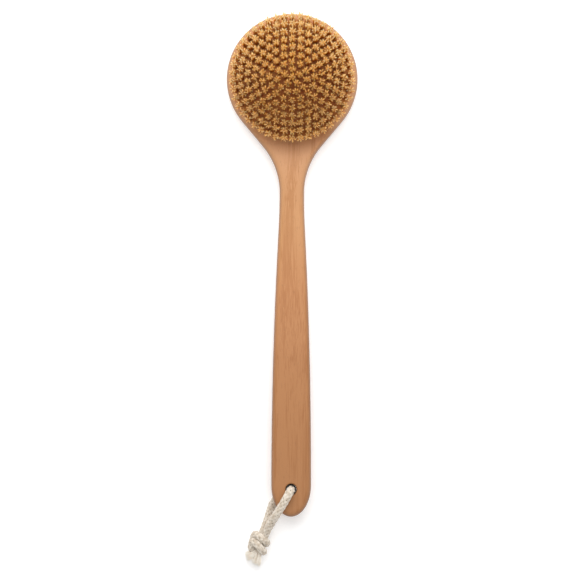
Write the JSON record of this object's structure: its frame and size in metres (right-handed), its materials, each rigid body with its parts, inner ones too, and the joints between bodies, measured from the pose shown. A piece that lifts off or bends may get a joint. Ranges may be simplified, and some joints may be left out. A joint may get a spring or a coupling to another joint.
{
  "type": "body dry brush",
  "caption": "Long-handled wooden body brush with a round head of set bristle tufts and a knotted cotton rope loop through the grip end.",
  "frame": {"origin": "centre of the round head's flat back face", "axes": "+Z out of the face that carries the bristles, +Y from the handle towards the head, +X across the head"},
  "size_m": [0.101, 0.427, 0.0362],
  "materials": {
    "beech": "fine-sanded and oiled beech, satin",
    "bristle": "natural golden-brown bristle with pale cut tips",
    "anchor_wire": "bright flat wire",
    "cotton_rope": "undyed braided cotton"
  },
  "bodies": {
    "brush": {"wooden_body": "beech", "centre_tuft": "bristle", "tuft_ring_1": "bristle", "tuft_ring_2": "bristle", "tuft_ring_3": "bristle", "tuft_ring_4": "bristle", "tuft_ring_5": "bristle", "tuft_ring_6": "bristle", "tuft_ring_7": "bristle", "tuft_ring_8": "bristle", "centre_anchor": "anchor_wire", "anchor_ring_1": "anchor_wire", "anchor_ring_2": "anchor_wire", "anchor_ring_3": "anchor_wire", "anchor_ring_4": "anchor_wire", "anchor_ring_5": "anchor_wire", "anchor_ring_6": "anchor_wire", "anchor_ring_7": "anchor_wire", "anchor_ring_8": "anchor_wire"},
    "hanging_loop": {"hanging_rope": "cotton_rope", "rope_knot": "cotton_rope", "rope_tails": "cotton_rope"}
  },
  "joints": [
    {"name": "loop_swing", "type": "hinge", "parent": "brush", "child": "hanging_loop", "pos_m": [0, -0.31604, 0.015], "axis": [0, 0, 1], "range_deg": [-75, 135]}
  ]
}
